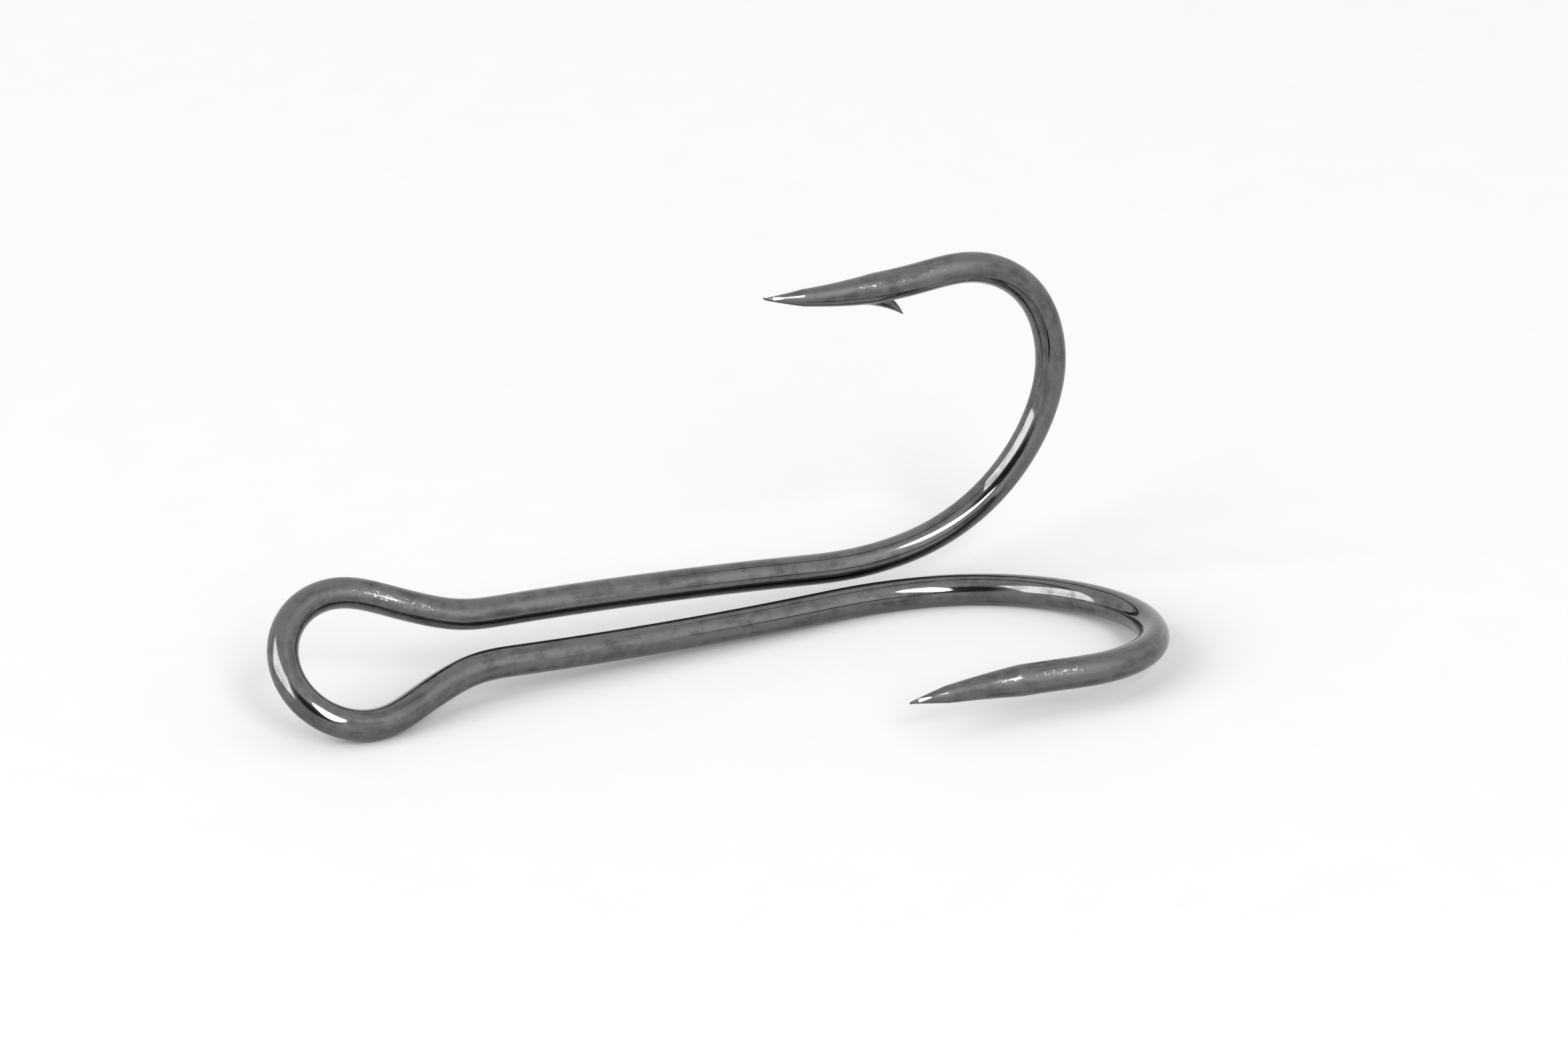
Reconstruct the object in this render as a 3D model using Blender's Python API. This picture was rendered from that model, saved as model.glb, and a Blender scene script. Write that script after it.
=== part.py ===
"""Double fishing hook, bent from one length of round steel wire.

The middle of the wire makes an open, pear-shaped eye. From its throat two shanks run side by side,
not joined, and each goes on into its own bend, which ends in a ground point with a sliced barb.
The hook is modelled in its own frame, where the eye lies flat in XY, the shanks run along +X and
both bends rise above it. An empty then turns it into the attitude in which it lies on a table.
"""
import math

import bmesh
import bpy
import numpy as np
from mathutils import Matrix, Vector

MM = 0.001

# Wire
WIRE_DIAMETER = 1.3 * MM
BLEND_LENGTH = 2.0 * MM        # length over which one curvature passes into the next

# Half of the eye and one shank, from the eye's nose: length, and the turn in the eye's plane
NOSE_LENGTH = 6.1 * MM
NOSE_TURN = math.radians(117.5)
EYE_SIDE_LENGTH = 3.2 * MM
EYE_SIDE_TURN = math.radians(-7.0)
THROAT_LENGTH = 1.6 * MM
THROAT_TURN = math.radians(-21.5)
SHANK_LENGTH = 15.4 * MM
SHANK_TURN = math.radians(4.0)

# One bend, from the end of the shank: length, and the turn in the bend's own plane
ENTRY_LENGTH = 4.1 * MM
ENTRY_TURN = math.radians(17.0)
LOWER_BEND_LENGTH = 8.8 * MM
LOWER_BEND_TURN = math.radians(59.5)
UPPER_BEND_LENGTH = 4.3 * MM
UPPER_BEND_TURN = math.radians(42.5)
CROWN_LENGTH = 5.4 * MM
CROWN_TURN = math.radians(74.5)
SPEAR_LENGTH = 7.7 * MM
SPEAR_TURN = math.radians(-18.0)
UPPER_SPEAR_EXTRA = 0.5 * MM   # the upper hook was cut a little longer
HOOK_SPREAD = math.radians(84.0)   # angle between the planes of the two bends

# Ground points
POINT_LENGTH = 5.05 * MM
TIP_LENGTH = 1.8 * MM
TIP_BASE_DIAMETER = 0.73 * MM
TIP_END_DIAMETER = 0.06 * MM

# Barbs: distances back from the tip of the point, heights above the wire's surface
BARB_TIP_BACK = 6.3 * MM
BARB_TIP_HEIGHT = 0.75 * MM
BARB_ROOT_BACK = 5.1 * MM
BARB_ROOT_DEPTH = 0.3 * MM
BARB_ROOT_WIDTH = 0.86 * MM
BARB_ROOT_THICKNESS = 0.6 * MM
BARB_TIP_WIDTH = 0.06 * MM
BARB_ROLL = math.radians(8.0)  # how far a barb leans towards the other hook

# The flat that the blade left behind each barb, from the wire's surface down to under the barb
SLICE_START_BACK = 7.05 * MM
SLICE_END_BACK = 5.5 * MM
SLICE_DEPTH = 0.235 * MM
BLADE_WIDTH = 2.0 * MM
BLADE_HEIGHT = 1.0 * MM

# Fineness of the faceted solid
WIRE_STEP = 0.5 * MM
POINT_STEPS = 5
TIP_STEPS = 3
PATH_STEP = 0.05 * MM
WIRE_BEVEL_RESOLUTION = 4      # 12 sides
BARB_SIDES = 10
BLEND_SAMPLES = 13
WELD_DISTANCE = 0.001 * MM
SHARP_EDGE = math.radians(40.0)

# Search for the resting attitude
FIRST_TURN = math.radians(4.0)
LAST_TURN = math.radians(0.001)
TURN_TRIES = (-2, -1, 0, 1, 2)

UPPER = 1
LOWER = -1


def clear_scene():
    for scene_object in list(bpy.data.objects):
        bpy.data.objects.remove(scene_object, do_unlink=True)


def new_collection(name):
    collection = bpy.data.collections.new(name)
    bpy.context.scene.collection.children.link(collection)
    return collection


def blackened_nickel():
    material = bpy.data.materials.new("blackened_nickel")
    material.use_nodes = True
    shader = material.node_tree.nodes["Principled BSDF"]
    shader.inputs["Base Color"].default_value = (0.16, 0.16, 0.165, 1.0)
    shader.inputs["Metallic"].default_value = 1.0
    shader.inputs["Roughness"].default_value = 0.25
    material.diffuse_color = (0.16, 0.16, 0.165, 1.0)
    return material


# ---------------------------------------------------------------- the line of the wire

EYE_LENGTHS = (NOSE_LENGTH, EYE_SIDE_LENGTH, THROAT_LENGTH, SHANK_LENGTH)
EYE_TURNS = (NOSE_TURN, EYE_SIDE_TURN, THROAT_TURN, SHANK_TURN)
BEND_TURNS = (ENTRY_TURN, LOWER_BEND_TURN, UPPER_BEND_TURN, CROWN_TURN, SPEAR_TURN)
SHANK_HEADING = sum(EYE_TURNS)


def bend_lengths(side):
    spear = SPEAR_LENGTH + (UPPER_SPEAR_EXTRA if side == UPPER else 0.0)
    return (ENTRY_LENGTH, LOWER_BEND_LENGTH, UPPER_BEND_LENGTH, CROWN_LENGTH, spear)


def arm_length(side):
    """Length of wire from the eye's nose to the tip of one point."""
    return sum(EYE_LENGTHS) + sum(bend_lengths(side))


def blended(distance, stations, headings):
    """Heading along a row of stretches, averaged so that the curvature has no jumps."""
    window = np.linspace(-0.5, 0.5, BLEND_SAMPLES) * BLEND_LENGTH
    return np.interp(distance[:, None] + window[None, :], stations, headings).mean(axis=1)


def shank_axis(side):
    return np.array([math.sin(SHANK_HEADING), side * math.cos(SHANK_HEADING), 0.0])


def bend_axis(side):
    """Direction in which a bend leaves its shank: square to the shank, half the spread out from +Z."""
    out_of_plane = math.cos(HOOK_SPREAD / 2)
    sideways = math.sin(HOOK_SPREAD / 2)
    lateral = np.array([-math.cos(SHANK_HEADING), side * math.sin(SHANK_HEADING), 0.0])
    return out_of_plane * np.array([0.0, 0.0, 1.0]) + sideways * lateral


def arm_path(side):
    """Fine points on the wire's centre line, from the eye's nose to the tip, and their distances."""
    length = arm_length(side)
    count = int(length / PATH_STEP)
    middle = (np.arange(count) + 0.5) * length / count
    eye_stations = np.concatenate([[0.0], np.cumsum(EYE_LENGTHS)])
    eye_headings = np.concatenate([[0.0], np.cumsum(EYE_TURNS)])
    # The other half of the eye is the mirror image, so the heading is odd about the nose.
    stations = np.concatenate([-eye_stations[:0:-1], eye_stations])
    headings = np.concatenate([-eye_headings[:0:-1], eye_headings])
    in_eye = blended(middle, stations, headings)
    bend_stations = eye_stations[-1] + np.concatenate([[0.0], np.cumsum(bend_lengths(side))])
    bend_headings = np.concatenate([[0.0], np.cumsum(BEND_TURNS)])
    in_bend = blended(middle, bend_stations, bend_headings)
    level = np.stack([np.sin(in_eye), side * np.cos(in_eye), np.zeros(count)], axis=1)
    tangents = np.cos(in_bend)[:, None] * level + np.sin(in_bend)[:, None] * bend_axis(side)
    tangents /= np.linalg.norm(tangents, axis=1)[:, None]
    points = np.vstack([np.zeros(3), np.cumsum(tangents, axis=0) * length / count])
    return points, np.linspace(0.0, length, count + 1)


def point_on_arm(side, distance):
    points, distances = arm_path(side)
    return np.stack([np.interp(distance, distances, points[:, axis]) for axis in range(3)], axis=-1)


def wire_radius(back):
    """Radius of the wire at a distance back from the tip of its point."""
    corners = (0.0, TIP_LENGTH, POINT_LENGTH)
    diameters = (TIP_END_DIAMETER, TIP_BASE_DIAMETER, WIRE_DIAMETER)
    return np.interp(back, corners, diameters) / 2


def arm_stations(side):
    """Distances from the nose at which the wire's solid has a ring."""
    length = arm_length(side)
    shoulder = length - POINT_LENGTH
    tip = length - TIP_LENGTH
    plain_steps = math.ceil(shoulder / WIRE_STEP)
    return np.concatenate([
        np.linspace(0.0, shoulder, plain_steps, endpoint=False),
        np.linspace(shoulder, tip, POINT_STEPS, endpoint=False),
        np.linspace(tip, length, TIP_STEPS + 1),
    ])


def wire_rings():
    """Centres and radii of the rings, from the lower point round the eye to the upper point."""
    lower = arm_stations(LOWER)[:0:-1]
    upper = arm_stations(UPPER)
    centres = np.vstack([point_on_arm(LOWER, lower), point_on_arm(UPPER, upper)])
    radii = np.concatenate([wire_radius(arm_length(LOWER) - lower), wire_radius(arm_length(UPPER) - upper)])
    return centres, radii


# ---------------------------------------------------------------- solids

def make_wire(collection, material):
    """One round wire with ground ends: a bevelled curve, made a mesh so that it can be cut."""
    centres, radii = wire_rings()
    curve = bpy.data.curves.new("hook_wire_curve", "CURVE")
    curve.dimensions = "3D"
    curve.bevel_depth = WIRE_DIAMETER / 2
    curve.bevel_resolution = WIRE_BEVEL_RESOLUTION
    curve.use_fill_caps = True
    spline = curve.splines.new("POLY")
    spline.points.add(len(centres) - 1)
    for spline_point, centre, radius in zip(spline.points, centres, radii):
        spline_point.co = (*centre, 1.0)
        spline_point.radius = radius / (WIRE_DIAMETER / 2)
    drawn = bpy.data.objects.new("hook_wire_drawn", curve)
    bpy.context.scene.collection.objects.link(drawn)
    evaluated = drawn.evaluated_get(bpy.context.evaluated_depsgraph_get())
    mesh = bpy.data.meshes.new_from_object(evaluated)
    mesh.name = "hook_wire"
    welded = bmesh.new()
    welded.from_mesh(mesh)
    bmesh.ops.remove_doubles(welded, verts=welded.verts, dist=WELD_DISTANCE)
    bmesh.ops.recalc_face_normals(welded, faces=welded.faces)
    welded.to_mesh(mesh)
    welded.free()
    mesh.materials.clear()
    mesh.materials.append(material)
    wire = bpy.data.objects.new("hook_wire", mesh)
    wire.matrix_world = drawn.matrix_world
    collection.objects.link(wire)
    bpy.data.objects.remove(drawn, do_unlink=True)
    return wire


def barb_frame(side, back):
    """Place on the centre line, direction to the tip, and direction in which the barb stands."""
    distance = arm_length(side) - back
    ahead = point_on_arm(side, distance + WIRE_STEP / 2)
    behind = point_on_arm(side, distance - WIRE_STEP / 2)
    to_tip = Vector(ahead - behind).normalized()
    across = Vector(np.cross(shank_axis(side), bend_axis(side))).normalized()
    inward = across.cross(to_tip).normalized()
    inward.rotate(Matrix.Rotation(-side * BARB_ROLL, 3, to_tip))
    return Vector(point_on_arm(side, distance)), to_tip, inward


def add_cutter(name, mesh, matrix, collection, parent):
    cutter = bpy.data.objects.new(name, mesh)
    cutter.matrix_world = matrix
    cutter.display_type = "WIRE"
    cutter.hide_render = True
    collection.objects.link(cutter)
    cutter.parent = parent
    return cutter


def axes_matrix(origin, x_axis, y_axis, z_axis):
    matrix = Matrix((x_axis, y_axis, z_axis)).transposed().to_4x4()
    matrix.translation = origin
    return matrix


def make_barb(side, name, collection, parent):
    """The sliver that the blade lifted: a flattened cone from inside the wire out to the barb's tip."""
    root_centre, _, root_inward = barb_frame(side, BARB_ROOT_BACK)
    tip_centre, _, tip_inward = barb_frame(side, BARB_TIP_BACK)
    root = root_centre + root_inward * (wire_radius(BARB_ROOT_BACK) - BARB_ROOT_DEPTH)
    tip = tip_centre + tip_inward * (wire_radius(BARB_TIP_BACK) + BARB_TIP_HEIGHT)
    along = (tip - root).normalized()
    sideways = along.cross(root_inward).normalized()
    shape = bmesh.new()
    bmesh.ops.create_cone(shape, cap_ends=True, segments=BARB_SIDES, radius1=BARB_ROOT_WIDTH / 2,
                          radius2=BARB_TIP_WIDTH / 2, depth=(tip - root).length)
    flatten = (1.0, BARB_ROOT_THICKNESS / BARB_ROOT_WIDTH, 1.0)
    bmesh.ops.scale(shape, verts=shape.verts, vec=flatten)
    mesh = bpy.data.meshes.new(name)
    shape.to_mesh(mesh)
    shape.free()
    matrix = axes_matrix((root + tip) / 2, sideways, along.cross(sideways), along)
    return add_cutter(name, mesh, matrix, collection, parent)


def make_slice(side, name, collection, parent):
    """The blade's path: a block whose floor slopes into the wire from behind the barb."""
    start_centre, _, start_inward = barb_frame(side, SLICE_START_BACK)
    end_centre, _, end_inward = barb_frame(side, SLICE_END_BACK)
    start = start_centre + start_inward * (WIRE_DIAMETER / 2)
    end = end_centre + end_inward * (WIRE_DIAMETER / 2 - SLICE_DEPTH)
    along = (end - start).normalized()
    sideways = start_inward.cross(along).normalized()
    up = along.cross(sideways)
    shape = bmesh.new()
    bmesh.ops.create_cube(shape, size=1.0)
    bmesh.ops.scale(shape, verts=shape.verts, vec=((end - start).length, BLADE_WIDTH, BLADE_HEIGHT))
    mesh = bpy.data.meshes.new(name)
    shape.to_mesh(mesh)
    shape.free()
    middle = (start + end) / 2 + up * (BLADE_HEIGHT / 2)
    return add_cutter(name, mesh, axes_matrix(middle, along, sideways, up), collection, parent)


def add_boolean(wire, cutter, operation):
    modifier = wire.modifiers.new(cutter.name, "BOOLEAN")
    modifier.operation = operation
    modifier.solver = "EXACT"
    modifier.object = cutter


# ---------------------------------------------------------------- how the hook lies

def resting_up():
    """Direction that points up when the hook lies still: its centre of mass can sink no further."""
    centres, radii = wire_rings()
    spans = np.linalg.norm(np.gradient(centres, axis=0), axis=1)
    weights = spans * radii ** 2
    mass_centre = (centres * weights[:, None]).sum(axis=0) / weights.sum()

    def up_direction(roll, pitch):
        level = math.cos(pitch)
        return np.array([-math.sin(pitch), math.sin(roll) * level, math.cos(roll) * level])

    def mass_height(angles):
        up = up_direction(*angles)
        return mass_centre @ up - (centres @ up - radii).min()

    angles = (HOOK_SPREAD / 2, 0.0)
    step = FIRST_TURN
    while step > LAST_TURN:
        tries = [(angles[0] + i * step, angles[1] + j * step) for i in TURN_TRIES for j in TURN_TRIES]
        best = min(tries, key=mass_height)
        if mass_height(best) < mass_height(angles):
            angles = best
        else:
            step /= 2
    return Vector(up_direction(*angles))


def lay_down(attitude):
    """Turn the hook's own frame so that its resting up is +Z and its length runs along +X."""
    up = resting_up()
    length_axis = Vector((1.0, 0.0, 0.0))
    forward = (length_axis - up * length_axis.dot(up)).normalized()
    side_axis = up.cross(forward)
    attitude.matrix_world = Matrix((forward, side_axis, up)).to_4x4()


def stand_at_origin(attitude, wire):
    """Move the hook so that the middle of its underside's box is at the origin."""
    bpy.context.view_layer.update()
    evaluated = wire.evaluated_get(bpy.context.evaluated_depsgraph_get())
    mesh = evaluated.to_mesh()
    corners = np.array([evaluated.matrix_world @ vertex.co for vertex in mesh.vertices])
    evaluated.to_mesh_clear()
    low = corners.min(axis=0)
    high = corners.max(axis=0)
    attitude.location -= Vector(((low[0] + high[0]) / 2, (low[1] + high[1]) / 2, low[2]))


def main():
    clear_scene()
    parts = new_collection("double_hook")
    cutters = new_collection("cutters")
    attitude = bpy.data.objects.new("resting_attitude", None)
    parts.objects.link(attitude)

    wire = make_wire(parts, blackened_nickel())
    wire.parent = attitude
    for side, name in ((UPPER, "upper"), (LOWER, "lower")):
        blade = make_slice(side, name + "_barb_slice", cutters, attitude)
        barb = make_barb(side, name + "_barb", cutters, attitude)
        add_boolean(wire, blade, "DIFFERENCE")
        add_boolean(wire, barb, "UNION")
    wire.data.shade_smooth()
    wire.data.set_sharp_from_angle(angle=SHARP_EDGE)

    lay_down(attitude)
    stand_at_origin(attitude, wire)
    bpy.context.view_layer.update()


main()
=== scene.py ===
# %% [markdown]
# # A double fishing hook
#
# The object is one length of round spring-steel wire, plated with dark nickel. Its middle is bent
# into an open, pear-shaped eye, and each half runs on as a shank, a bend and a ground point with a
# barb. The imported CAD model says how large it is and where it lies. This lesson models the wire
# again with a finer surface, gives it its plating, and puts it on a white table between two
# softboxes. Everything is in metres.

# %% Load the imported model
import math

import bpy
import numpy as np
from mathutils import Matrix, Vector
from mathutils.kdtree import KDTree


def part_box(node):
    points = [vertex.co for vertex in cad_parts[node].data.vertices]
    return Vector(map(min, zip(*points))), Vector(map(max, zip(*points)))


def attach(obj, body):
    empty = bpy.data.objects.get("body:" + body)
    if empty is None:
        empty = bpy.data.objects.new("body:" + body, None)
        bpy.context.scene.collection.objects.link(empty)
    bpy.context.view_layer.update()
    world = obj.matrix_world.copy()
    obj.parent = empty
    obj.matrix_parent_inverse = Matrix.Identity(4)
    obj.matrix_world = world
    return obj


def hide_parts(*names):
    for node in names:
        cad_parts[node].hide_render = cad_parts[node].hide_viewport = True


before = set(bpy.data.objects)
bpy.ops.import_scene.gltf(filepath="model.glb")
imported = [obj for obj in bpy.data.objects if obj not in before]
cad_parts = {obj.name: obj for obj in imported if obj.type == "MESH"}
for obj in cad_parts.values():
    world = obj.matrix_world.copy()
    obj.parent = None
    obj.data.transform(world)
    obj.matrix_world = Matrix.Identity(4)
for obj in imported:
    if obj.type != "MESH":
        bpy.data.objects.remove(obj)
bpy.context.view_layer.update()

cad_low, cad_high = (Vector(corner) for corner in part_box("hook_wire"))
print("CAD wire from", cad_low, "to", cad_high)
bpy.ops.object.select_all(action="DESELECT")

# %% [markdown]
# ## The wire's own sizes
#
# A hook maker describes a hook by the wire's gauge and by the stretches between its bends: how long
# each one is and how far the wire turns along it. The same few values made the CAD model, so the
# fine wire follows the coarse one. The hook has a frame of its own: the eye lies flat in XY with its
# nose at the origin, the shanks run along +X, and both bends rise above that plane.

# %% Sizes of the wire
MM = 0.001
WIRE_RADIUS = 0.65 * MM
BLEND_LENGTH = 2.0 * MM

# (length, turn in degrees) of each stretch, from the nose of the eye outwards
EYE_STRETCHES = ((6.1 * MM, 117.5), (3.2 * MM, -7.0), (1.6 * MM, -21.5), (15.4 * MM, 4.0))
BEND_STRETCHES = ((4.1 * MM, 17.0), (8.8 * MM, 59.5), (4.3 * MM, 42.5), (5.4 * MM, 74.5), (7.7 * MM, -18.0))
UPPER_SPEAR_EXTRA = 0.5 * MM
HOOK_SPREAD = math.radians(84.0)

POINT_LENGTH = 5.05 * MM
TIP_LENGTH = 1.8 * MM
TIP_BASE_RADIUS = 0.365 * MM
TIP_END_RADIUS = 0.03 * MM
TIP_CURL = math.radians(55.0)          # the grinding wheel leaves the very end turned outwards
TIP_CURL_LENGTH = 0.14 * MM

UPPER, LOWER = 1, -1
SIDE_NAMES = {UPPER: "upper", LOWER: "lower"}


def stations_and_headings(stretches):
    """Running length and running turn at the end of each stretch."""
    lengths, turns = zip(*stretches)
    stations = np.concatenate([[0.0], np.cumsum(lengths)])
    headings = np.radians(np.concatenate([[0.0], np.cumsum(turns)]))
    return stations, headings


eye_stations, eye_headings = stations_and_headings(EYE_STRETCHES)
shank_heading = eye_headings[-1]
print("nose to end of shank:", round(eye_stations[-1] / MM, 2), "mm")

# %% [markdown]
# ## The line that the wire follows
#
# Wire bent round a row of pins never changes its curvature at once, because steel springs a little
# past each pin. So the heading is averaged over a short blend length. That matters on a glossy wire:
# a jump in curvature shows as a kink in every highlight. The bend's plane leans out from the eye's
# plane by half the spread between the hooks.

# %% Directions along the wire
BLEND_SAMPLES = 13
CENTRE_SAMPLES = 4000


def bend_stations(side):
    stretches = list(BEND_STRETCHES)
    if side == UPPER:
        length, turn = stretches[-1]
        stretches[-1] = (length + UPPER_SPEAR_EXTRA, turn)
    stations, headings = stations_and_headings(stretches)
    return eye_stations[-1] + stations, headings


def arm_length(side):
    return bend_stations(side)[0][-1]


def blended(distance, stations, headings):
    window = np.linspace(-0.5, 0.5, BLEND_SAMPLES) * BLEND_LENGTH
    return np.interp(distance[:, None] + window[None, :], stations, headings).mean(axis=1)


def shank_axis(side):
    return Vector((math.sin(shank_heading), side * math.cos(shank_heading), 0.0))


def bend_axis(side):
    lateral = Vector((-math.cos(shank_heading), side * math.sin(shank_heading), 0.0))
    return Vector((0, 0, 1)) * math.cos(HOOK_SPREAD / 2) + lateral * math.sin(HOOK_SPREAD / 2)


def directions(side, distance):
    """Unit vectors along the wire at some distances from the nose of the eye."""
    stations = np.concatenate([-eye_stations[:0:-1], eye_stations])
    headings = np.concatenate([-eye_headings[:0:-1], eye_headings])
    in_eye = blended(distance, stations, headings)
    in_bend = blended(distance, *bend_stations(side))
    in_bend -= TIP_CURL * np.clip((distance - arm_length(side)) / TIP_CURL_LENGTH + 1.0, 0.0, 1.0)
    level = np.stack([np.sin(in_eye), side * np.cos(in_eye), np.zeros(len(distance))], axis=1)
    along = np.cos(in_bend)[:, None] * level + np.sin(in_bend)[:, None] * np.array(bend_axis(side))
    return along / np.linalg.norm(along, axis=1)[:, None]


def wire_radius(back):
    """Radius at a distance back from the tip: a steep needle tip, then a long ground taper."""
    places = (0.0, TIP_LENGTH, POINT_LENGTH)
    radii = (TIP_END_RADIUS, TIP_BASE_RADIUS, WIRE_RADIUS)
    return float(np.interp(back, places, radii))


def centre_line(side, distances):
    """Points on the centre line, from a fine sum of the directions."""
    fine = np.linspace(0.0, arm_length(side), CENTRE_SAMPLES)
    middle = (fine[1:] + fine[:-1]) / 2
    points = np.vstack([np.zeros(3), np.cumsum(directions(side, middle) * np.diff(fine)[:, None], axis=0)])
    return np.stack([np.interp(distances, fine, points[:, axis]) for axis in range(3)], axis=-1)


for side, name in SIDE_NAMES.items():
    print(name, "arm:", round(arm_length(side) / MM, 2), "mm of wire")

# %% [markdown]
# ## Bending the wire
#
# On the machine, wire is fed out and wrapped round one pin after another. Here a ring of 64 points
# is fed out in the same way: each step is one small spin about a pin, or a plain extrusion where the
# wire is straight. Each arm starts at the nose of the eye. Near the end, every new ring is scaled
# down, which grinds the point.

# %% Sweep one arm
RING_SIDES = 64
RING_STEP = 0.25 * MM
POINT_RINGS = 14
TIP_RINGS = 12
CURL_RINGS = 4
STRAIGHT_TURN = 1e-6


def ring_stations(side):
    """Where the rings go: evenly along the wire, and closer together along the point."""
    length = arm_length(side)
    plain_rings = math.ceil((length - POINT_LENGTH) / RING_STEP)
    plain = np.linspace(0.0, length - POINT_LENGTH, plain_rings, endpoint=False)
    point = np.linspace(length - POINT_LENGTH, length - TIP_LENGTH, POINT_RINGS, endpoint=False)
    tip = np.linspace(length - TIP_LENGTH, length - TIP_CURL_LENGTH, TIP_RINGS, endpoint=False)
    curl = np.linspace(length - TIP_CURL_LENGTH, length, CURL_RINGS)
    return np.concatenate([plain, point, tip, curl])


def feed_step(centre, before, after, step):
    """Feed one step of wire out of the selected ring, and return the new ring's centre.

    The spin operator turns left-handed about its axis, so it is given the opposite of the turn's axis.
    """
    turn = before.angle(after)
    if turn < STRAIGHT_TURN:
        move = before * step
        bpy.ops.mesh.extrude_region_move(TRANSFORM_OT_translate={"value": move})
        return centre + move
    axis = before.cross(after).normalized()
    pin = centre + axis.cross(before).normalized() * (step / turn)
    bpy.ops.mesh.spin(steps=1, angle=turn, center=pin, axis=-axis)
    return pin + Matrix.Rotation(turn, 3, axis) @ (centre - pin)


def sweep_arm(side):
    stations = ring_stations(side)
    ring_directions = [Vector(direction) for direction in directions(side, stations)]
    bpy.ops.mesh.primitive_circle_add(vertices=RING_SIDES, radius=WIRE_RADIUS, rotation=(math.pi / 2, 0, 0))
    arm = bpy.context.object
    arm.name = SIDE_NAMES[side] + "_arm"
    bpy.ops.object.transform_apply(location=False, rotation=True, scale=False)
    bpy.ops.object.mode_set(mode="EDIT")
    bpy.ops.mesh.select_all(action="SELECT")
    centre = Vector()
    radius = WIRE_RADIUS
    steps = zip(stations[:-1], stations[1:], ring_directions[:-1], ring_directions[1:])
    for start, end, before, after in steps:
        centre = feed_step(centre, before, after, end - start)
        ground = wire_radius(arm_length(side) - end)
        if ground < radius:
            shrink = ground / radius
            bpy.ops.transform.resize(value=(shrink, shrink, shrink), center_override=centre)
            radius = ground
    bpy.ops.mesh.edge_face_add()
    bpy.ops.object.mode_set(mode="OBJECT")
    return arm


arms = {side: sweep_arm(side) for side in SIDE_NAMES}
for side, arm in arms.items():
    tip = centre_line(side, arm_length(side))
    print(arm.name, len(arm.data.vertices), "vertices, tip planned at", [round(v / MM, 2) for v in tip])

# %% [markdown]
# ## One wire
#
# The two arms meet in the same ring at the nose of the eye. They are joined, that ring's doubles are
# merged, and the normals are made to point outwards.

# %% Join the arms at the nose
MERGE_DISTANCE = 0.0005 * MM


def only(*chosen):
    """Select these objects and no other; the last one is active."""
    bpy.ops.object.select_all(action="DESELECT")
    for scene_object in chosen:
        scene_object.select_set(True)
    bpy.context.view_layer.objects.active = chosen[-1]


only(*arms.values())
bpy.ops.object.join()
wire = bpy.context.object
wire.name = "nickel_hook"
wire.data.name = "nickel_hook"
bpy.ops.object.mode_set(mode="EDIT")
bpy.ops.mesh.select_all(action="SELECT")
bpy.ops.mesh.remove_doubles(threshold=MERGE_DISTANCE)
bpy.ops.mesh.normals_make_consistent(inside=False)
bpy.ops.object.mode_set(mode="OBJECT")
print(wire.name, len(wire.data.vertices), "vertices,", len(wire.data.polygons), "faces")

# %% [markdown]
# ## Cutting the barbs
#
# A barb isn't added to a hook. A slanting blade is driven into the inner side of the wire from
# behind, towards the point, and it lifts a sliver of steel and leaves a flat that rises to the
# surface again. Here the blade is a block that a Boolean takes away. Its floor follows the blade's
# path, so the flat gets the long half-ellipse outline that a plane cuts from a round bar.

# %% Where a barb stands
BARB_ROLL = math.radians(8.0)
SLICE_START_BACK = 7.05 * MM
SLICE_END_BACK = 5.5 * MM
SLICE_DEPTH = 0.235 * MM
BLADE_WIDTH = 2.0 * MM
BLADE_HEIGHT = 1.0 * MM


def point_frame(side, back):
    """Place on the centre line, direction to the tip, and direction in which the barb stands."""
    distance = arm_length(side) - back
    to_tip = Vector(directions(side, np.array([distance]))[0])
    across = shank_axis(side).cross(bend_axis(side))
    inward = across.cross(to_tip).normalized()
    inward.rotate(Matrix.Rotation(-side * BARB_ROLL, 3, to_tip))
    return Vector(centre_line(side, distance)), to_tip, inward


def axes_matrix(origin, x_axis, y_axis, z_axis):
    matrix = Matrix((x_axis, y_axis, z_axis)).transposed().to_4x4()
    matrix.translation = origin
    return matrix


def apply_boolean(body, tool, operation):
    modifier = body.modifiers.new(tool.name, "BOOLEAN")
    modifier.operation = operation
    modifier.solver = "EXACT"
    modifier.object = tool
    only(body)
    bpy.ops.object.modifier_apply(modifier=modifier.name)
    bpy.data.objects.remove(tool, do_unlink=True)


def cut_away(name, start, end, outward):
    """Take away what lies on the outward side of the straight path from start to end."""
    along = (end - start).normalized()
    sideways = outward.cross(along).normalized()
    up = along.cross(sideways)
    bpy.ops.mesh.primitive_cube_add(size=1)
    blade = bpy.context.object
    blade.name = name
    scale = Matrix.Diagonal(((end - start).length, BLADE_WIDTH, BLADE_HEIGHT, 1.0))
    middle = (start + end) / 2 + up * (BLADE_HEIGHT / 2)
    blade.matrix_world = axes_matrix(middle, along, sideways, up) @ scale
    bpy.context.view_layer.update()
    apply_boolean(wire, blade, "DIFFERENCE")
    print(name, "runs", round((end - start).length / MM, 2), "mm")


def cut_slice(side):
    start_centre, _, start_inward = point_frame(side, SLICE_START_BACK)
    end_centre, _, end_inward = point_frame(side, SLICE_END_BACK)
    start = start_centre + start_inward * WIRE_RADIUS
    end = end_centre + end_inward * (WIRE_RADIUS - SLICE_DEPTH)
    cut_away(SIDE_NAMES[side] + "_slice", start, end, start_inward)


for side in SIDE_NAMES:
    cut_slice(side)

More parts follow.
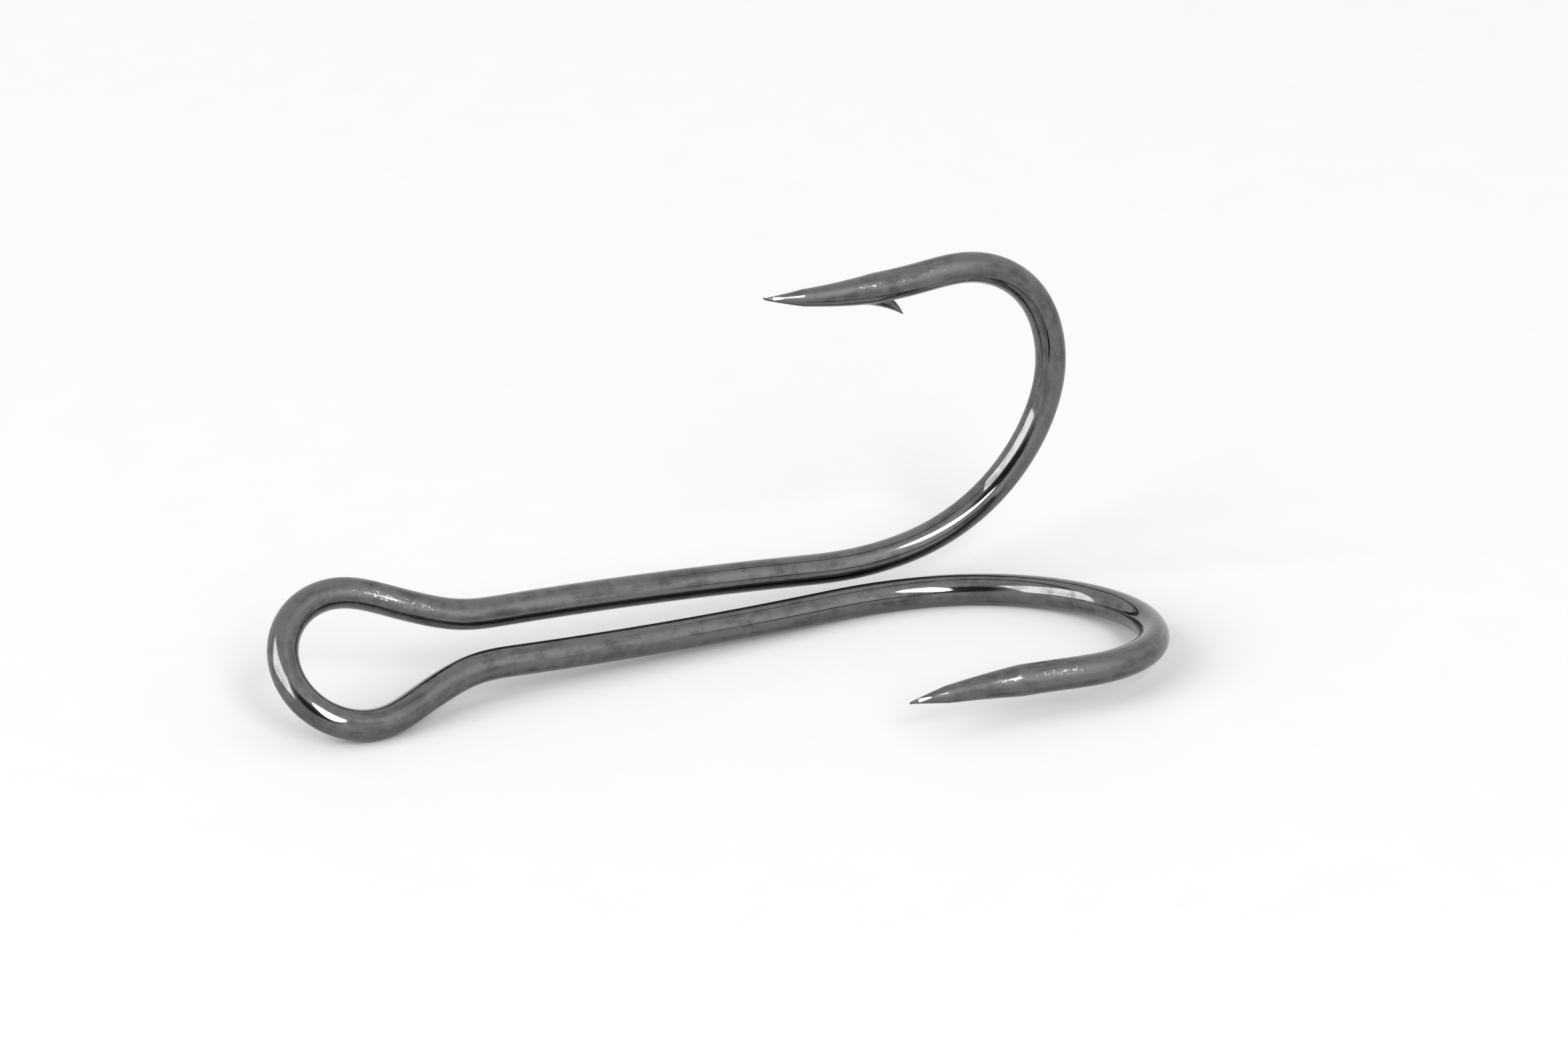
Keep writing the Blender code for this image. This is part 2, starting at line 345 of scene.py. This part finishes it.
# %% [markdown]
# ## Lifting the slivers
#
# The sliver stays full for most of its length and then thins quickly, almost to a point, so the barb
# looks like a small tooth. Its upper edge leaves the wire's surface gently and steepens along an arc.
# It is made lying along Y: a ring that hangs below that edge is fed out in small spins about the
# arc's centre, and each new ring is drawn in towards the edge. The sliver is closed, put in its place
# with its root inside the wire, and united with it.

# %% Sweep a sliver
SLIVER_SIDES = 32
SLIVER_STEPS = 26
SLIVER_ROOT_BACK = 3.2 * MM
SLIVER_ROOT_DEPTH = 0.01 * MM
SLIVER_ROOT_WIDTH = 0.95 * MM
SLIVER_ROOT_THICKNESS = 0.9 * MM
SLIVER_END_BACK = 6.26 * MM
SLIVER_END_HEIGHT = 0.86 * MM
SLIVER_END_WIDTH = 0.1 * MM
SLIVER_END_THICKNESS = 0.05 * MM
SLIVER_CURL = math.radians(34.0)
SLIVER_FULLNESS = 2.6


def sliver_size(root_size, end_size, share):
    """Full for most of the sliver's length, then quickly smaller."""
    return root_size + (end_size - root_size) * share ** SLIVER_FULLNESS


def sweep_sliver(name, run, rise):
    """A curled wedge whose upper edge runs from the origin to (0, run, rise)."""
    chord = math.hypot(run, rise)
    radius = chord / (2 * math.sin(SLIVER_CURL / 2))
    slope = math.atan2(rise, run) - SLIVER_CURL / 2
    # A ring one unit across that hangs below the origin, brought to its size and then to its slope
    bpy.ops.mesh.primitive_circle_add(vertices=SLIVER_SIDES, radius=0.5, location=(0, 0, -0.5),
                                      rotation=(math.pi / 2, 0, 0))
    sliver = bpy.context.object
    sliver.name = name
    bpy.ops.object.transform_apply(location=True, rotation=True, scale=False)
    sliver.scale = (SLIVER_ROOT_WIDTH, 1.0, SLIVER_ROOT_THICKNESS)
    bpy.ops.object.transform_apply(location=False, rotation=False, scale=True)
    sliver.rotation_euler = (slope, 0, 0)
    bpy.ops.object.transform_apply(location=False, rotation=True, scale=False)
    bpy.ops.object.mode_set(mode="EDIT")
    bpy.ops.mesh.select_all(action="SELECT")
    edge = Vector()
    width, thickness = SLIVER_ROOT_WIDTH, SLIVER_ROOT_THICKNESS
    step_turn = SLIVER_CURL / SLIVER_STEPS
    for step in range(1, SLIVER_STEPS + 1):
        pin = edge + Vector((0, -math.sin(slope), math.cos(slope))) * radius
        bpy.ops.mesh.spin(steps=1, angle=step_turn, center=pin, axis=(-1, 0, 0))
        edge = pin + Matrix.Rotation(step_turn, 3, "X") @ (edge - pin)
        slope += step_turn
        new_width = sliver_size(SLIVER_ROOT_WIDTH, SLIVER_END_WIDTH, step / SLIVER_STEPS)
        new_thickness = sliver_size(SLIVER_ROOT_THICKNESS, SLIVER_END_THICKNESS, step / SLIVER_STEPS)
        thinner = new_thickness / thickness
        bpy.ops.transform.resize(value=(new_width / width, thinner, thinner), center_override=edge)
        width, thickness = new_width, new_thickness
    bpy.ops.mesh.select_all(action="SELECT")
    bpy.ops.mesh.fill_holes(sides=0)
    bpy.ops.mesh.normals_make_consistent(inside=False)
    bpy.ops.object.mode_set(mode="OBJECT")
    return sliver


def lift_sliver(side):
    root_centre, to_tip, root_inward = point_frame(side, SLIVER_ROOT_BACK)
    end_centre, _, end_inward = point_frame(side, SLIVER_END_BACK)
    root = root_centre + root_inward * (wire_radius(SLIVER_ROOT_BACK) - SLIVER_ROOT_DEPTH)
    end = end_centre + end_inward * (wire_radius(SLIVER_END_BACK) + SLIVER_END_HEIGHT)
    backwards = -to_tip
    sideways = backwards.cross(root_inward).normalized()
    up = sideways.cross(backwards)
    sliver = sweep_sliver(SIDE_NAMES[side] + "_barb", (end - root).dot(backwards), (end - root).dot(up))
    sliver.matrix_world = axes_matrix(root, sideways, backwards, up)
    bpy.context.view_layer.update()
    apply_boolean(wire, sliver, "UNION")
    print(SIDE_NAMES[side], "barb stands", round(SLIVER_END_HEIGHT / MM, 2), "mm above the wire")


for side in SIDE_NAMES:
    lift_sliver(side)

# %% [markdown]
# ## The last cut
#
# Last of all, a fine wheel touches each point and leaves one narrow flat, a little steeper than the
# point's own taper. It stops just short of the tip, which keeps its tiny burr. It is the same kind
# of cut as the slices, so the same helper makes it. The flat's face is shaded flat, so that it
# reflects like a facet, and the rest is shaded smooth wherever the surface turns gently.

# %% Grind the last cuts
# Each flat's turn about the point, from the barb's direction
GROUND_ROLLS = {UPPER: math.radians(127.5), LOWER: math.radians(-156.5)}
GROUND_SLOPE = math.radians(13.3)
GROUND_START_BACK = 0.42 * MM
GROUND_LENGTH = 1.5 * MM
GROUND_OFF_MIDDLE = 0.087 * MM
SMOOTH_ANGLE = math.radians(32.0)
SAME_NORMAL = 0.9999                   # cosine above which two normals count as the same


def grind_tip(side):
    """Grind one flat and return its middle and its normal."""
    centre, to_tip, inward = point_frame(side, GROUND_START_BACK)
    outward = Matrix.Rotation(GROUND_ROLLS[side], 3, to_tip) @ inward
    along = outward * math.sin(GROUND_SLOPE) - to_tip * math.cos(GROUND_SLOPE)
    start = centre + outward * GROUND_OFF_MIDDLE
    end = start + along * GROUND_LENGTH
    cut_away(SIDE_NAMES[side] + "_last_cut", start, end, outward)
    return (start + end) / 2, outward * math.cos(GROUND_SLOPE) + to_tip * math.sin(GROUND_SLOPE)


flats = [grind_tip(side) for side in SIDE_NAMES]
only(wire)
bpy.ops.object.shade_smooth_by_angle(angle=SMOOTH_ANGLE)
for middle, normal in flats:
    for face in wire.data.polygons:
        if face.normal.dot(normal) > SAME_NORMAL and (face.center - middle).length < GROUND_LENGTH:
            face.use_smooth = False
            print("flat of", round(face.area / MM ** 2, 3), "square mm")
print(wire.name, len(wire.data.vertices), "vertices after cutting and lifting")

# %% [markdown]
# ## A map of the straight wire
#
# Wire is drawn through a die, and its scratches run along it wherever it is bent later. A pattern
# that is to follow the bends needs to know where each point lay on the straight wire. So every
# vertex keeps that place in an attribute: two distances across the wire and one along it. The
# cross directions are carried along the centre line without twisting.

# %% Store the straight wire's coordinates
TRACK_STEP = 0.05 * MM


def carried_frames(side):
    """Centre line points, distances, and two cross directions that never twist about the wire."""
    distances = np.linspace(0.0, arm_length(side), math.ceil(arm_length(side) / TRACK_STEP))
    points = centre_line(side, distances)
    along = directions(side, distances)
    across = np.zeros_like(along)
    carried = Vector((0, 0, 1))
    for row, direction in enumerate(along):
        direction = Vector(direction)
        carried = (carried - direction * carried.dot(direction)).normalized()
        across[row] = carried
    return points, distances * side, across, np.cross(along, across) * side


def store_straight_place(body):
    tracks = [carried_frames(side) for side in SIDE_NAMES]
    points, distances, first, second = (np.concatenate(parts) for parts in zip(*tracks))
    tree = KDTree(len(points))
    for index, point in enumerate(points):
        tree.insert(point, index)
    tree.balance()
    places = np.zeros((len(body.data.vertices), 3))
    for vertex in body.data.vertices:
        _, nearest, _ = tree.find(vertex.co)
        offset = np.array(vertex.co) - points[nearest]
        places[vertex.index] = (offset @ first[nearest], offset @ second[nearest], distances[nearest])
    attribute = body.data.attributes.new("straight_place", "FLOAT_VECTOR", "POINT")
    attribute.data.foreach_set("vector", places.ravel())
    print("straight wire runs from", places[:, 2].min() / MM, "to", places[:, 2].max() / MM, "mm")


store_straight_place(wire)

# %% [markdown]
# ## Laying the hook down
#
# A double hook can't lie on its eye. It rolls over until its weight is as low as it goes: one bend
# lies nearly flat, and the other stands up. The direction that then points up comes from the CAD
# model. The finished mesh is turned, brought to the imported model's box, and its place is applied.

# %% Turn and place the wire
RESTING_UP = Vector((-0.0654, 0.6882, 0.7226)).normalized()


def mesh_box(body):
    corners = np.array([vertex.co for vertex in body.data.vertices])
    return Vector(corners.min(axis=0)), Vector(corners.max(axis=0))


length_axis = Vector((1, 0, 0))
forward = (length_axis - RESTING_UP * length_axis.dot(RESTING_UP)).normalized()
wire.matrix_world = Matrix((forward, RESTING_UP.cross(forward), RESTING_UP)).to_4x4()
only(wire)
bpy.ops.object.transform_apply(location=True, rotation=True, scale=True)
low, high = mesh_box(wire)
shift = (cad_low + cad_high) / 2 - (low + high) / 2
shift.z = cad_low.z - low.z
wire.location = shift
bpy.ops.object.transform_apply(location=True, rotation=True, scale=True)
low, high = mesh_box(wire)
print("wire from", [round(v / MM, 2) for v in low], "to", [round(v / MM, 2) for v in high])

# %% [markdown]
# ## Blackened nickel
#
# Black nickel is a true metal finish, so the shader is fully metallic, with a dark, neutral
# base colour. Its look comes from what it reflects and from how the surface breaks that up. Fine
# lines from drawing the wire follow the straight wire's coordinates. The nose of the eye is worn
# satin. Where a bending pin or the blade pressed on the wire there are tiny dents, and their slopes
# catch the light as sparkles.

# %% Shader helpers
def new_material(name):
    material = bpy.data.materials.new(name)
    material.use_nodes = True
    nodes = material.node_tree.nodes
    return material, nodes, material.node_tree.links, nodes["Principled BSDF"]


def add_node(nodes, kind, **values):
    """A node with some of its inputs set by name."""
    node = nodes.new(kind)
    for name, value in values.items():
        node.inputs[name.replace("_", " ")].default_value = value
    return node


def add_noise(nodes, links, vector, scale, stretch=(1.0, 1.0, 1.0), detail=4.0, roughness=0.55):
    """Noise whose vector is first stretched: one unit of the scale is one metre."""
    mapping = add_node(nodes, "ShaderNodeMapping", Scale=stretch)
    noise = add_node(nodes, "ShaderNodeTexNoise", Scale=scale, Detail=detail, Roughness=roughness)
    links.new(vector, mapping.inputs["Vector"])
    links.new(mapping.outputs["Vector"], noise.inputs["Vector"])
    return noise.outputs["Fac"]


def add_range(nodes, links, value, from_low, from_high, to_low, to_high):
    """Map one range of a value to another, and keep it inside."""
    mapped = add_node(nodes, "ShaderNodeMapRange", From_Min=from_low, From_Max=from_high,
                      To_Min=to_low, To_Max=to_high)
    links.new(value, mapped.inputs["Value"])
    return mapped.outputs["Result"]


# %% Blackened nickel
# Noise scales are features in a metre; the lines' and streaks' stretch makes them run with the wire
LINE_SCALE, LINE_STRETCH = 14000, (1.0, 1.0, 0.02)
STREAK_SCALE, STREAK_STRETCH = 3200, (1.0, 1.0, 0.12)
DENT_SCALE, DENT_STRETCH = 9000, (1.0, 1.0, 0.45)
MOTTLING_SCALE = 1600
GLOSSY_ROUGHNESS, DULL_ROUGHNESS = 0.045, 0.12
SATIN_GAIN = 0.07
DARK_TINT = (0.076, 0.076, 0.078, 1.0)
PALE_TINT = (0.146, 0.146, 0.147, 1.0)
LINE_DEPTH = 0.0015 * MM
DENT_DEPTH = 0.006 * MM
# Middle and half length in mm of each mark along the wire; the lower arm counts backwards
NOSE_WEAR = ((1.6, 2.8),)
TOOL_MARKS = ((1.6, 2.8), (6.6, 3.2), (44.5, 2.5), (50.0, 4.2), (-7.5, 1.8), (-44.5, 2.5), (-50.4, 3.0))


def add_math(nodes, links, operation, first, second):
    """Arithmetic on two values; each is a socket or a number."""
    node = nodes.new("ShaderNodeMath")
    node.operation = operation
    for socket, value in zip(node.inputs, (first, second)):
        if isinstance(value, bpy.types.NodeSocket):
            links.new(value, socket)
        else:
            socket.default_value = value
    return node.outputs["Value"]


def add_marks(nodes, links, along, marks):
    """A mask that is 1 on each marked length of the wire."""
    mask = None
    for middle, half_length in marks:
        beyond = add_math(nodes, links, "SUBTRACT", along, middle * MM)
        away = add_math(nodes, links, "ABSOLUTE", beyond, 0.0)
        here = add_range(nodes, links, away, half_length * 0.5 * MM, half_length * MM, 1.0, 0.0)
        mask = here if mask is None else add_math(nodes, links, "MAXIMUM", mask, here)
    return mask


def blackened_nickel():
    material, nodes, links, shader = new_material("blackened_nickel")
    shader.inputs["Metallic"].default_value = 1.0
    straight = nodes.new("ShaderNodeAttribute")
    straight.attribute_name = "straight_place"
    straight_place = straight.outputs["Vector"]
    parts = nodes.new("ShaderNodeSeparateXYZ")
    links.new(straight_place, parts.inputs["Vector"])
    place = nodes.new("ShaderNodeTexCoord").outputs["Object"]

    worn = add_marks(nodes, links, parts.outputs["Z"], NOSE_WEAR)
    pressed = add_marks(nodes, links, parts.outputs["Z"], TOOL_MARKS)
    lines = add_noise(nodes, links, straight_place, LINE_SCALE, LINE_STRETCH, detail=3.0)
    streaks = add_noise(nodes, links, straight_place, STREAK_SCALE, STREAK_STRETCH)
    mottling = add_noise(nodes, links, place, MOTTLING_SCALE, detail=6.0, roughness=0.65)
    dents = add_noise(nodes, links, straight_place, DENT_SCALE, DENT_STRETCH, detail=3.0, roughness=0.6)

    # Satin where the nose is worn and the mottling is strong, glossy elsewhere
    satin = add_math(nodes, links, "MULTIPLY", worn, add_range(nodes, links, mottling, 0.38, 0.6, 0.3, 1.0))
    plain = add_range(nodes, links, streaks, 0.35, 0.7, GLOSSY_ROUGHNESS, DULL_ROUGHNESS)
    links.new(add_math(nodes, links, "ADD", plain, add_math(nodes, links, "MULTIPLY", satin, SATIN_GAIN)),
              shader.inputs["Roughness"])

    tint = nodes.new("ShaderNodeMix")
    tint.data_type = "RGBA"
    tint.inputs["A"].default_value = DARK_TINT
    tint.inputs["B"].default_value = PALE_TINT
    shade = add_math(nodes, links, "MULTIPLY", streaks, 0.5)
    shade = add_math(nodes, links, "ADD", shade, add_math(nodes, links, "MULTIPLY", mottling, 0.5))
    links.new(add_range(nodes, links, shade, 0.36, 0.53, 0.0, 1.0), tint.inputs["Factor"])
    links.new(tint.outputs["Result"], shader.inputs["Base Color"])

    line_bump = add_node(nodes, "ShaderNodeBump", Strength=0.3, Distance=LINE_DEPTH)
    links.new(lines, line_bump.inputs["Height"])
    dent_bump = add_node(nodes, "ShaderNodeBump", Strength=0.6, Distance=DENT_DEPTH)
    pits = add_range(nodes, links, dents, 0.56, 0.72, 1.0, 0.0)
    links.new(add_math(nodes, links, "MULTIPLY", pits, pressed), dent_bump.inputs["Height"])
    links.new(line_bump.outputs["Normal"], dent_bump.inputs["Normal"])
    links.new(dent_bump.outputs["Normal"], shader.inputs["Normal"])
    return material


nickel = blackened_nickel()
wire.data.materials.clear()
wire.data.materials.append(nickel)
print(nickel.name, len(nickel.node_tree.nodes), "nodes")

# %% [markdown]
# ## The wire stands for the CAD wire
#
# The fine wire takes the coarse one's place in pictures. The coarse one stays for collisions. The
# hook has no joints, so the wire rides on the only body.

# %% Tell the frame about the wire
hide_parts("hook_wire")
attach(wire, "root")

# %% [markdown]
# ## Table, light and camera
#
# A dark, glossy wire is a mirror in which the studio shows. So the studio has what the wire should
# reflect: a bright, even room, one round strong softbox in front, one large weaker one at the left,
# and the dark shape of the person behind the camera. The table is pale and matt, a little darker
# than the room's light needs, so that it comes out white but keeps the soft shadows.

# %% The table
TABLE_SIZE = 6.0
TABLE_GRAIN_SCALE = 350
TABLE_DARK = (0.507, 0.507, 0.507, 1.0)
TABLE_PALE = (0.521, 0.521, 0.521, 1.0)


def table_material():
    material, nodes, links, shader = new_material("white_table")
    shader.inputs["Roughness"].default_value = 0.65
    shader.inputs["Specular IOR Level"].default_value = 0.2
    place = nodes.new("ShaderNodeTexCoord").outputs["Object"]
    grain = add_noise(nodes, links, place, TABLE_GRAIN_SCALE, detail=3.0)
    tint = nodes.new("ShaderNodeMix")
    tint.data_type = "RGBA"
    tint.inputs["A"].default_value = TABLE_DARK
    tint.inputs["B"].default_value = TABLE_PALE
    links.new(grain, tint.inputs["Factor"])
    links.new(tint.outputs["Result"], shader.inputs["Base Color"])
    return material


bpy.ops.mesh.primitive_plane_add(size=TABLE_SIZE)
table = bpy.context.object
table.name = "table"
table.data.materials.append(table_material())
print("table", TABLE_SIZE, "m across")

# %% The room's light
ROOM_RADIANCE = 1.08
DARK_SHARE = 0.1
DARK_AZIMUTH = math.radians(-150.0)
DARK_ELEVATION = math.radians(22.0)
DARK_INNER = math.radians(14.0)
DARK_OUTER = math.radians(27.0)
GLOW_GAIN = 0.55
GLOW_AZIMUTH = math.radians(172.0)
GLOW_ELEVATION = math.radians(34.0)
GLOW_INNER = math.radians(8.0)
GLOW_OUTER = math.radians(42.0)


def sky_direction(azimuth, elevation):
    """Unit vector; the azimuth runs from +Y towards +X."""
    level = math.cos(elevation)
    return Vector((math.sin(azimuth) * level, math.cos(azimuth) * level, math.sin(elevation)))


def add_sky_patch(nodes, links, sky, direction, inner, outer, gain):
    """A factor of 1 outside a round patch of the sky, and of the given gain inside it."""
    facing = nodes.new("ShaderNodeVectorMath")
    facing.operation = "DOT_PRODUCT"
    facing.inputs[1].default_value = direction
    links.new(sky, facing.inputs[0])
    return add_range(nodes, links, facing.outputs["Value"], math.cos(outer), math.cos(inner), 1.0, gain)


def light_the_room():
    world = bpy.data.worlds.new("studio_room")
    bpy.context.scene.world = world
    world.use_nodes = True
    nodes, links = world.node_tree.nodes, world.node_tree.links
    sky = nodes.new("ShaderNodeTexCoord").outputs["Generated"]
    dark = add_sky_patch(nodes, links, sky, sky_direction(DARK_AZIMUTH, DARK_ELEVATION),
                         DARK_INNER, DARK_OUTER, DARK_SHARE)
    glow = add_sky_patch(nodes, links, sky, sky_direction(GLOW_AZIMUTH, GLOW_ELEVATION),
                         GLOW_INNER, GLOW_OUTER, 1.0 + GLOW_GAIN)
    both = nodes.new("ShaderNodeMath")
    both.operation = "MULTIPLY"
    links.new(dark, both.inputs[0])
    links.new(glow, both.inputs[1])
    brightness = nodes.new("ShaderNodeMath")
    brightness.operation = "MULTIPLY"
    brightness.inputs[1].default_value = ROOM_RADIANCE
    links.new(both.outputs["Value"], brightness.inputs[0])
    links.new(brightness.outputs["Value"], nodes["Background"].inputs["Strength"])
    nodes["Background"].inputs["Color"].default_value = (1.0, 1.0, 1.0, 1.0)


light_the_room()
bpy.context.scene.view_settings.view_transform = "Standard"
print("room radiance", ROOM_RADIANCE)

# %% The softboxes
LIGHT_DISTANCE = 1.2


def add_softbox(name, shape, azimuth, elevation, angular_width, angular_height, lean, radiance):
    """An area light seen from the table under two angles, leaning sideways, with a given radiance."""
    direction = sky_direction(math.radians(azimuth), math.radians(elevation))
    upright = direction.to_track_quat("Z", "Y").to_matrix()
    light = bpy.data.lights.new(name, "AREA")
    light.shape = shape
    light.size = 2 * LIGHT_DISTANCE * math.tan(math.radians(angular_width / 2))
    light.size_y = 2 * LIGHT_DISTANCE * math.tan(math.radians(angular_height / 2))
    area = light.size * light.size_y * (math.pi / 4 if shape == "ELLIPSE" else 1.0)
    light.energy = radiance * math.pi * area
    softbox = bpy.data.objects.new(name, light)
    softbox.location = direction * LIGHT_DISTANCE
    softbox.rotation_euler = (upright @ Matrix.Rotation(math.radians(lean), 3, "Z")).to_euler()
    bpy.context.scene.collection.objects.link(softbox)
    print(name, "gives", round(light.energy, 1), "W")


add_softbox("front_softbox", "ELLIPSE", azimuth=184.7, elevation=33.7,
            angular_width=18.3, angular_height=42.0, lean=-30.0, radiance=13.0)
add_softbox("left_softbox", "RECTANGLE", azimuth=-93.0, elevation=31.0,
            angular_width=50.0, angular_height=43.0, lean=0.0, radiance=4.2)

# %% The camera
CAMERA_PLACE = Vector((-103.981, -230.898, 114.848)) * MM
CAMERA_AZIMUTH = math.radians(24.72)
CAMERA_ELEVATION = math.radians(-22.94)
CAMERA_ROLL = math.radians(-1.924)
CAMERA_LENS = 156.0
SENSOR_WIDTH = 36.0
NEAREST_SEEN = 10 * MM


def place_camera():
    forward = sky_direction(CAMERA_AZIMUTH, CAMERA_ELEVATION)
    level_right = forward.cross(Vector((0, 0, 1))).normalized()
    level_up = level_right.cross(forward)
    right = level_right * math.cos(CAMERA_ROLL) + level_up * math.sin(CAMERA_ROLL)
    camera = bpy.data.objects.new("studio_camera", bpy.data.cameras.new("studio_camera"))
    camera.data.lens = CAMERA_LENS
    camera.data.sensor_width = SENSOR_WIDTH
    camera.data.clip_start = NEAREST_SEEN
    camera.matrix_world = axes_matrix(CAMERA_PLACE, right, right.cross(forward), -forward)
    bpy.context.scene.collection.objects.link(camera)
    bpy.context.scene.camera = camera
    print("camera looks along", [round(v, 4) for v in forward], "with right", [round(v, 4) for v in right])


place_camera()
